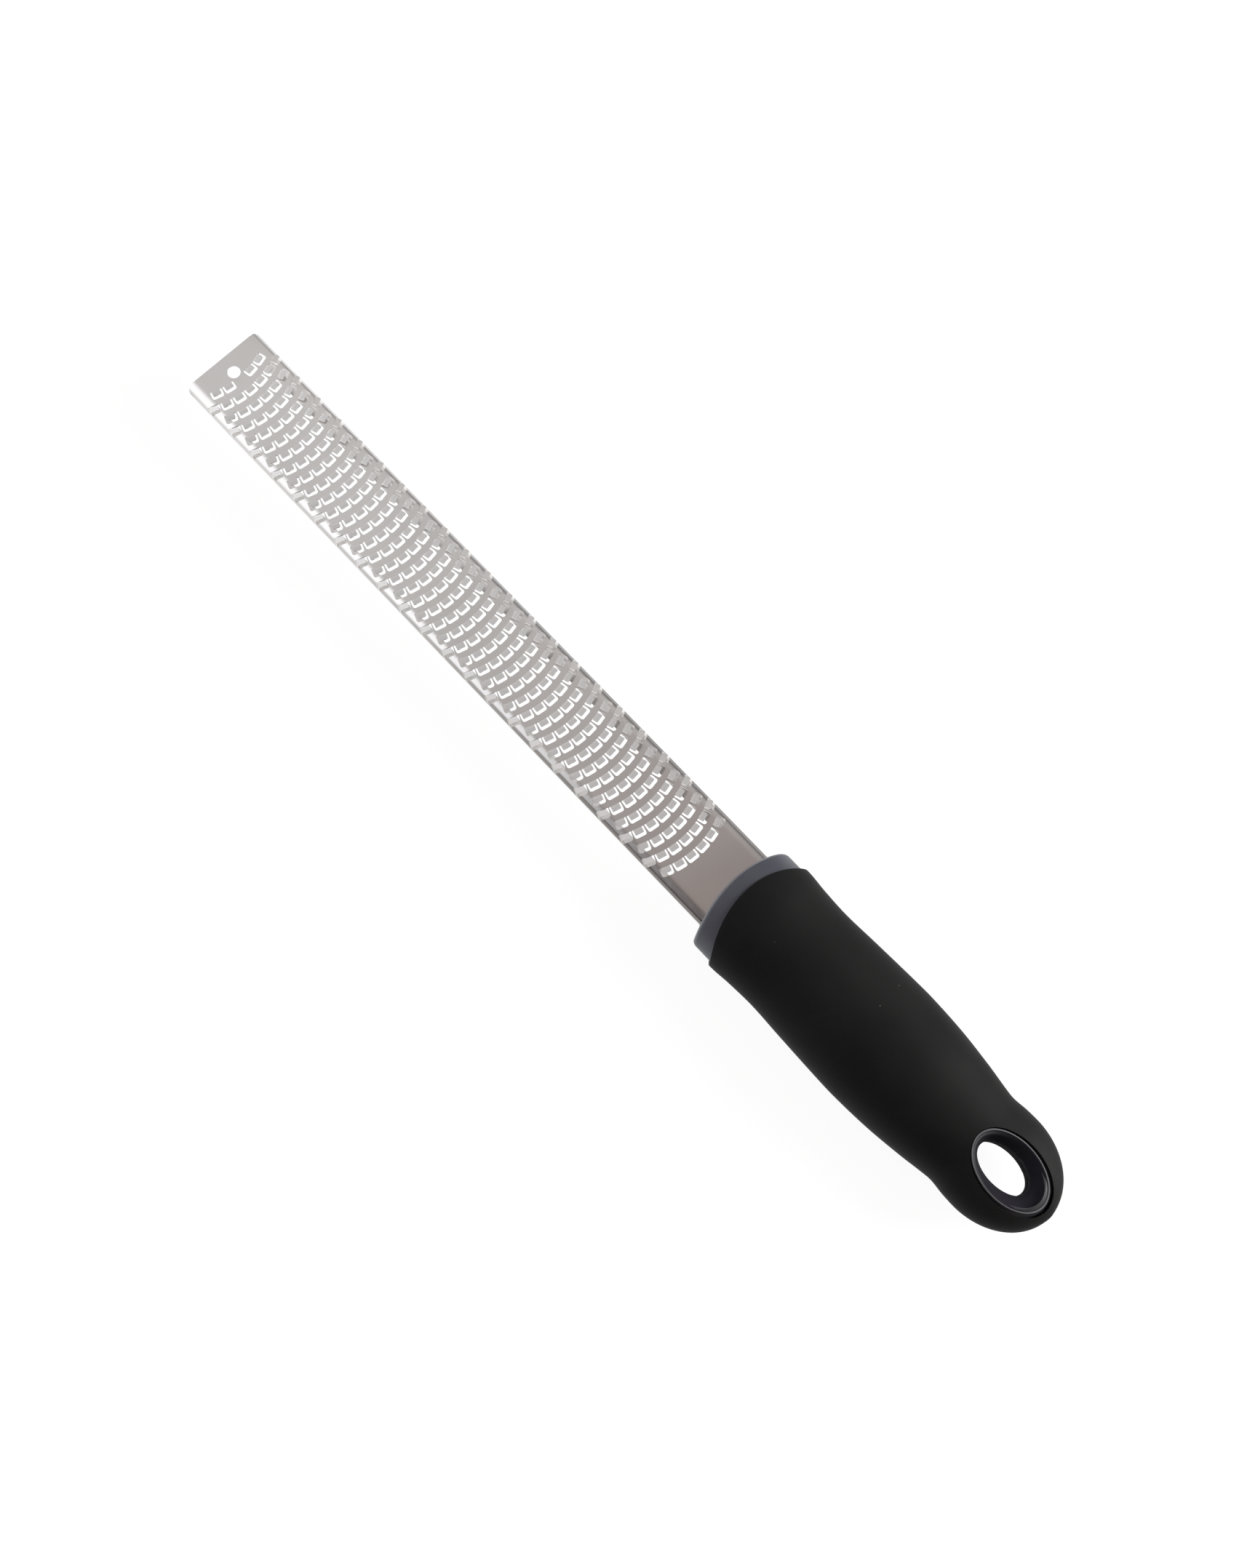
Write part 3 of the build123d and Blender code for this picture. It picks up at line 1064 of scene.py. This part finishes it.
@dataclass
class Handle:
    """The handle: front collar, soft sleeve and the eyelet's two rings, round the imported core.

    A station is a place between sleeve_x and bulb_x, 0 to 1, with the handle's
    half width and half height there as shares of the belly's.
    """

    collar_x: float = 43.3
    sleeve_x: float = 47.75
    core_x: float = 62.4
    bulb_x: float = 140.9
    end_x: float = 160.0
    mid_z: float = 13.0
    belly_width: float = 18.2
    belly_height: float = 12.97
    bulb_width: float = 15.6
    bulb_height: float = 10.65
    bulb_side: float = 35.0
    bulb_overshoot: float = 0.6
    last_turn: float = 84.0
    bulb_steps: int = 24
    span_steps: int = 6
    sleeve_wall: float = 2.4
    sleeve_arc: float = 27.9
    sleeve_lip: float = 0.9
    lip_steps: int = 4
    collar_width: float = 17.15
    collar_height: float = 12.3
    collar_arc: float = 39.5
    collar_edge: float = 0.9
    edge_steps: int = 6
    sliver: float = 0.05
    spigot_x: float = 47.0
    spigot_width: float = 15.5
    spigot_height: float = 10.2
    slot: tuple[Point, Point] = ((40.0, -12.75, 9.15), (64.0, 12.75, 16.85))
    plug: tuple[Point, Point] = ((44.6, -12.1, 9.7), (62.0, 12.1, 16.3))
    slot_corner: float = 2.2
    slot_steps: int = 8
    eyelet_x: float = 144.35
    rim_length: float = 12.3
    rim_width: float = 7.95
    rim_z: float = 20.45
    rim_lean: float = 12.35
    rim_face: float = 0.55
    rim_edge: float = 0.22
    rim_steps: int = 3
    flange_z: float = 16.6
    ledge: float = 0.8
    throat_x: float = 143.15
    throat_length: float = 8.26
    throat_width: float = 4.88
    throat_z: float = 16.5
    recess_x: float = 144.85
    recess_length: float = 13.0
    recess_width: float = 8.65
    recess_edge: float = 0.5
    recess_steps: int = 3
    recess_levels: Span = (-5, 31)
    fine_corners: int = 128
    smooth_turn: float = 35
    stations: tuple[Point, ...] = (
        (-0.040, 0.990, 0.980),
        (0.080, 0.996, 0.988),
        (0.145, 0.968, 0.968),
        (0.235, 0.949, 0.952),
        (0.345, 0.971, 0.974),
        (0.500, 0.997, 0.998),
        (0.570, 1.000, 1.000),
        (0.690, 0.970, 0.966),
        (0.805, 0.904, 0.882),
        (0.885, 0.842, 0.821),
        (0.915, 0.828, 0.799),
        (0.960, 0.850, 0.763),
    )
    core: MouldedFinish = MouldedFinish(
        "core", (0.03, 0.03, 0.034, 1), (0.04, 0.04, 0.044, 1), 0.5
    )
    collar: MouldedFinish = MouldedFinish(
        "collar",
        (0.054, 0.0565, 0.072, 1),
        (0.063, 0.066, 0.084, 1),
        0.42,
        # painted highlight on the collar's front edge
        front=(0.17, 0.175, 0.19, 1),
    )
    eyelet: MouldedFinish = MouldedFinish(
        "eyelet",
        (0.014, 0.0135, 0.018, 1),
        (0.02, 0.019, 0.025, 1),
        0.4,
        specular=0.12,
        matt_below=0.0195,
        # where the painted highlight round the eyelet's rim falls
        ridge_oval=(0.14435, 0.0123, 0.00795),
    )
    sleeve: RubberFinish = RubberFinish()

    def build(self, nodes: dict[str, bpy.types.Object], steel: bpy.types.Material) -> None:
        """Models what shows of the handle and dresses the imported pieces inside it.

        Args:
            nodes: The frame's pieces, by name.
            steel: The rasp's finish, which the pins share.
        """
        core = self.core.material()
        for name, material in (("tang_pins", steel), ("core_upper", core), ("core_lower", core)):
            nodes[name].data.materials.clear()
            nodes[name].data.materials.append(material)
            LOG.info("%s: dressed", name)
        eyelet = self.eyelet.material()
        pieces = (
            (self.collar_piece(), self.collar.material(), Slot.COLLAR, "front_collar"),
            (self.sleeve_piece(), self.sleeve.material(), Slot.GRIP, "grip_sleeve"),
            (self.ring(Side.RIGHT), eyelet, Slot.EYELET, "eyelet_upper"),
            (self.ring(Side.LEFT), eyelet, Slot.EYELET, "eyelet_lower"),
        )
        for piece, material, slot, node in pieces:
            Bench.finish(piece, material, slot, self.smooth_turn)
            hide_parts(node)

    def sections(self, inset: float) -> list[Oval]:
        """Lays out the handle's outer form.

        Args:
            inset: How much smaller it is all round.

        Returns:
            Its sections from front to end.
        """
        rough = []
        for along, wide, high in self.stations:
            x = self.sleeve_x + along * (self.bulb_x - self.sleeve_x)
            rough.append((x, self.belly_height * high - inset, self.belly_width * wide - inset))
        bulb = []
        reach = self.end_x - self.bulb_x
        for step in range(self.bulb_steps + 1):
            turn = math.radians(self.last_turn * step / self.bulb_steps)
            along = math.sin(turn) / math.sin(math.radians(self.last_turn))
            side = (self.bulb_side - reach + along * reach) / (self.bulb_side + self.bulb_overshoot)
            high = (self.bulb_height - inset) * math.sqrt(1 - side * side)
            wide = (self.bulb_width - inset) * math.cos(turn)
            bulb.append((self.bulb_x + along * (reach - inset), high, wide))
        smooth = self.smoothed(rough + bulb[:2], self.span_steps)
        smooth = [point for point in smooth if point[0] < self.bulb_x - NEAR]
        return self.upright(smooth + bulb)

    def upright(self, sizes: Iterable[Point]) -> list[Oval]:
        """Makes upright sections round the handle's middle from x, half height and half width."""
        return [Oval(x, self.mid_z, high, wide, UPRIGHT) for x, high, wide in sizes]

    @staticmethod
    def smoothed(points: Sequence[Point], steps: int) -> list[Point]:
        """Fills in between sections on a smooth curve through them.

        Args:
            points: The given sections, as x, half height and half width.
            steps: How many sections each span becomes.

        Returns:
            The sections from the first one on, without the last.
        """
        slopes = []
        for number in range(len(points)):
            left = points[max(number - 1, 0)]
            right = points[min(number + 1, len(points) - 1)]
            run = right[0] - left[0]
            slopes.append(((right[1] - left[1]) / run, (right[2] - left[2]) / run))
        made = []
        for number in range(len(points) - 1):
            first, last = points[number], points[number + 1]
            run = last[0] - first[0]
            for step in range(steps):
                share = step / steps
                begin = (1 + 2 * share) * (1 - share) ** 2
                leave = share * (1 - share) ** 2 * run
                arrive = share * share * (share - 1) * run
                sizes = [
                    begin * first[axis + 1]
                    + (1 - begin) * last[axis + 1]
                    + leave * slopes[number][axis]
                    + arrive * slopes[number + 1][axis]
                    for axis in (0, 1)
                ]
                made.append((first[0] + share * run, sizes[0], sizes[1]))
        return made

    def sleeve_piece(self) -> bpy.types.Object:
        """Models the soft sleeve.

        Returns:
            The sleeve, hollow, with its arched front edge and the eyelet's recess.
        """
        piece = Bench.loft("sleeve", self.sections(0))
        Bench.cut(piece, Bench.bullnose("front", self.sleeve_x, self.sleeve_arc), "INTERSECT")
        Bench.round_edges(piece, self.sleeve_lip, self.lip_steps)
        Bench.cut(piece, Bench.loft("inside", self.sections(self.sleeve_wall)))
        size = (self.recess_length, self.recess_width)
        recess = [Oval(self.recess_x, z, *size) for z in self.recess_levels]
        Bench.cut(piece, Bench.loft("recess", recess, corners=self.fine_corners))
        Bench.round_edges(piece, self.recess_edge, self.recess_steps)
        return piece

    @staticmethod
    def arch(radius: float, y: float) -> float:
        """Gives how far an arched edge lies behind its middle at y."""
        return radius - math.sqrt(radius * radius - y * y)

    def collar_piece(self) -> bpy.types.Object:
        """Models the front collar.

        Returns:
            The collar with its spigot, and the slot that the folded sheet passes through.
        """
        wide, high, edge = self.collar_width, self.collar_height, self.collar_edge
        band = [(self.collar_x, self.sliver, wide - edge)]
        for step in range(self.edge_steps + 1):
            turn = math.pi / 2 * step / self.edge_steps
            less = edge * (1 - math.sin(turn))
            band.append((self.collar_x + edge * (1 - math.cos(turn)), high - less, wide - less))
        band += [(self.sleeve_x, high, wide), (self.sleeve_x, self.sliver, wide)]
        piece = Bench.loft("collar", self.upright(band), corners=self.fine_corners)
        for vertex in piece.data.vertices:
            share = (vertex.co.x - self.collar_x) / (self.sleeve_x - self.collar_x)
            vertex.co.x += (1 - share) * self.arch(self.collar_arc, vertex.co.y)
            vertex.co.x += share * self.arch(self.sleeve_arc, vertex.co.y)
        size = (self.spigot_height, self.spigot_width)
        spigot = self.upright([(x, *size) for x in (self.spigot_x, self.core_x)])
        Bench.cut(piece, Bench.loft("spigot", spigot), "UNION")
        slot = Bench.block("slot", *self.slot)
        top_z = self.slot[1][2]
        for edge_y in (self.slot[0][1], self.slot[1][1]):
            Bench.choose(
                slot, Pick.EDGES, lambda co: abs(co.y - edge_y) < NEAR and abs(co.z - top_z) < NEAR
            )
            bpy.ops.mesh.bevel(offset=self.slot_corner, segments=self.slot_steps, affect="EDGES")
            Bench.done()
        Bench.cut(piece, slot)
        Bench.join(piece, Bench.block("plug", *self.plug))
        return piece

    def ring(self, side: Side) -> bpy.types.Object:
        """Models one ring of the eyelet.

        Args:
            side: RIGHT for the upper ring, LEFT for its mirror image below.

        Returns:
            The ring: rim, funnel, throat and barrel.
        """
        slope = math.cos(math.radians(self.rim_lean))
        long, wide = self.rim_length, self.rim_width
        mouth = ((long - self.rim_face) / slope, wide - self.rim_face, self.rim_lean)
        throat_size = (self.throat_length, self.throat_width)
        throat = [Oval(self.throat_x, z, *throat_size) for z in (self.mid_z, self.throat_z)]
        barrel_size = (long - self.ledge, wide - self.ledge)
        barrel = [Oval(self.eyelet_x, z, *barrel_size) for z in (self.flange_z, self.mid_z)]
        ovals = [
            *throat,
            Oval(self.eyelet_x, self.rim_z, *mouth),
            Oval(self.eyelet_x, self.rim_z, long / slope, wide, self.rim_lean),
            Oval(self.eyelet_x, self.flange_z, long, wide),
            *barrel,
            throat[0],
        ]
        name = "eyelet_" + side.name.lower()
        piece = Bench.loft(name, ovals, ring=True, corners=self.fine_corners)
        Bench.round_edges(piece, self.rim_edge, self.rim_steps)
        if side is Side.LEFT:
            to_middle = Matrix.Translation((0, 0, self.mid_z))
            piece.data.transform(to_middle @ Matrix.Scale(-1, 4, (0, 0, 1)) @ to_middle.inverted())
            Bench.outwards(piece)
        return piece


@dataclass(frozen=True)
class Patch:
    """A part of the room with its own tone, which comes in as the way turns toward it."""

    toward: Point
    ramp: Span
    tone: Colour


@dataclass
class Studio:
    """Pale floor, soft light and the camera, in metres.

    The patches are the room's dim side, its brown shade behind the handle and its
    bright side. The body is the dark shape round the camera that the steel mirrors.
    """

    eye: Point = (0.0812, -0.0896, 0.5031)
    right: Point = (0.687, 0.7262, 0.025)
    up: Point = (-0.7106, 0.6642, 0.2321)
    lens: float = 43.414
    clip_start: float = 0.01
    floor_size: float = 6.0
    floor_tone: Colour = (0.8, 0.8, 0.8, 1)
    floor_shadow: Colour = (0.14, 0.14, 0.14, 1)
    floor_glow: float = 0.92
    walls: Colour = (0.635, 0.623, 0.619, 1)
    patches: tuple[Patch, ...] = (
        Patch((0.687, 0.726, 0.0), (0.1, 0.62), (0.2, 0.195, 0.195, 1)),
        Patch((0.9, -0.25, 0.35), (-0.04, 0.42), (0.15, 0.088, 0.065, 1)),
        Patch((-0.3, -0.954, 0.0), (0.04, 0.22), (1.36, 1.36, 1.39, 1)),
    )
    body: Colour = (0.03, 0.014, 0.01, 1)
    body_end: Span = (-0.2, -0.15)
    body_side: Span = (-0.08, 0.08)
    lamp_place: Point = (0.7, 0.75, 0.5)
    lamp_size: float = 0.6
    lamp_power: float = 13.0

    def build(self) -> None:
        """Sets up floor, world, lamp and camera."""
        self._floor()
        self._world()
        self._lamp()
        self._camera()
        bpy.context.scene.view_settings.view_transform = "Standard"

    def _floor(self) -> None:
        """A plain floor that the camera sees as white, with a faint shadow."""
        Bench.clear()
        bpy.ops.mesh.primitive_plane_add(size=self.floor_size, location=(0, 0, 0))
        floor = bpy.context.object
        floor.name = "floor"
        made = bpy.data.materials.new("pale_floor")
        graph = Graph(made)
        path = graph.add("ShaderNodeLightPath", output="Is Camera Ray")
        glossy = graph.add("ShaderNodeLightPath", output="Is Glossy Ray")
        clear = graph.add("ShaderNodeLightPath", output="Is Transmission Ray")
        seen = path.or_else(glossy.or_else(clear))
        plain = graph.add("ShaderNodeBsdfDiffuse", None, {"Color": self.floor_tone})
        shadow = graph.add("ShaderNodeBsdfDiffuse", None, {"Color": self.floor_shadow})
        glow = {"Color": WHITE, "Strength": self.floor_glow}
        white = graph.add("ShaderNodeEmission", None, glow)
        bright = graph.add("ShaderNodeAddShader", None, {0: shadow, 1: white})
        both = graph.add("ShaderNodeMixShader", None, {0: seen, 1: plain, 2: bright})
        graph.add_output("ShaderNodeOutputMaterial", both)
        floor.data.materials.append(made)

    def _world(self) -> None:
        """A pale room with its patches and the body, which the camera itself sees as white."""
        world = bpy.data.worlds.new("studio")
        bpy.context.scene.world = world
        graph = Graph(world)
        room = self.walls
        for patch in self.patches:
            room = graph.blend(graph.facing(patch.toward).above(*patch.ramp), room, patch.tone)
        body = graph.facing((1, 0, 0)).above(*self.body_end)
        body = body * graph.facing((0, -1, 0)).above(*self.body_side)
        room = graph.blend(body, room, self.body)
        lit = graph.add("ShaderNodeBackground", None, {"Color": room, "Strength": 1.0})
        white = graph.add("ShaderNodeBackground", None, {"Color": WHITE, "Strength": 1.0})
        seen = graph.add("ShaderNodeLightPath", output="Is Camera Ray")
        both = graph.add("ShaderNodeMixShader", None, {0: seen, 1: lit, 2: white})
        graph.add_output("ShaderNodeOutputWorld", both)

    def _lamp(self) -> None:
        """Adds a square soft lamp that points at the tool's middle."""
        Bench.clear()
        bpy.ops.object.light_add(type="AREA", location=self.lamp_place)
        lamp = bpy.context.object
        lamp.name = "soft_lamp"
        lamp.data.size = self.lamp_size
        lamp.data.energy = self.lamp_power
        lamp.rotation_euler = (-Vector(self.lamp_place)).to_track_quat("-Z", "Y").to_euler()

    def _camera(self) -> None:
        """Stands the camera where the fitted view has it."""
        Bench.clear()
        bpy.ops.object.camera_add()
        camera = bpy.context.object
        right = Vector(self.right).normalized()
        up = Vector(self.up)
        up = (up - right * up.dot(right)).normalized()
        back = right.cross(up)
        turn = Matrix((right, up, back)).transposed().to_4x4()
        camera.matrix_world = Matrix.Translation(self.eye) @ turn
        camera.data.lens = self.lens
        camera.data.clip_start = self.clip_start
        bpy.context.scene.camera = camera


def main() -> None:
    """Loads the frame, builds each part of the tool in order and sets up the studio."""
    logging.basicConfig(level=logging.INFO, format="%(message)s")
    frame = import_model()
    steel = SteelFinish().material()
    Handle().build(frame["nodes"], steel)
    Rasp().build(steel)
    Studio().build()


if __name__ == "__main__":
    main()
